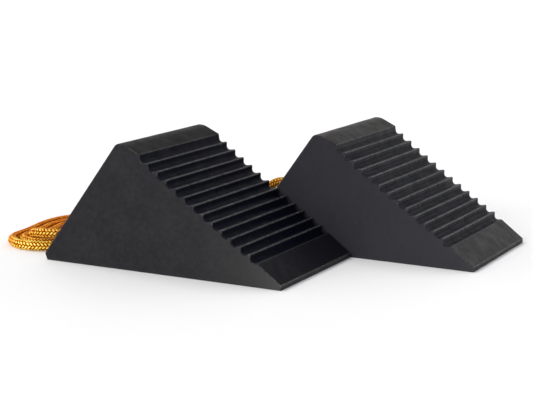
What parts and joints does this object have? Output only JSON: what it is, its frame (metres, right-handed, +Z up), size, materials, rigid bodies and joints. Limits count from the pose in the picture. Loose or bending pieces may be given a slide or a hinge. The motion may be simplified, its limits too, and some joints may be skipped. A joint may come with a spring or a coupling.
{
  "type": "wheel chock",
  "caption": "Pair of moulded solid-rubber wheel chocks with a ribbed tyre face, joined by a braided rope knotted in a pocket under each chock.",
  "frame": {"origin": "on the floor, under the middle of the pair of chocks", "axes": "+X from the plain backs towards the toes, along the chocks' length; +Y across the ribs, from the left chock to the right one; +Z up"},
  "size_m": [0.3982, 0.302, 0.104],
  "materials": {
    "chock_rubber": "matte",
    "rope_braid": "braided"
  },
  "bodies": {
    "root": {"chock_left": "chock_rubber", "chock_right": "chock_rubber", "rope": "rope_braid", "rope_knot_left": "rope_braid", "rope_knot_right": "rope_braid"}
  },
  "joints": []
}
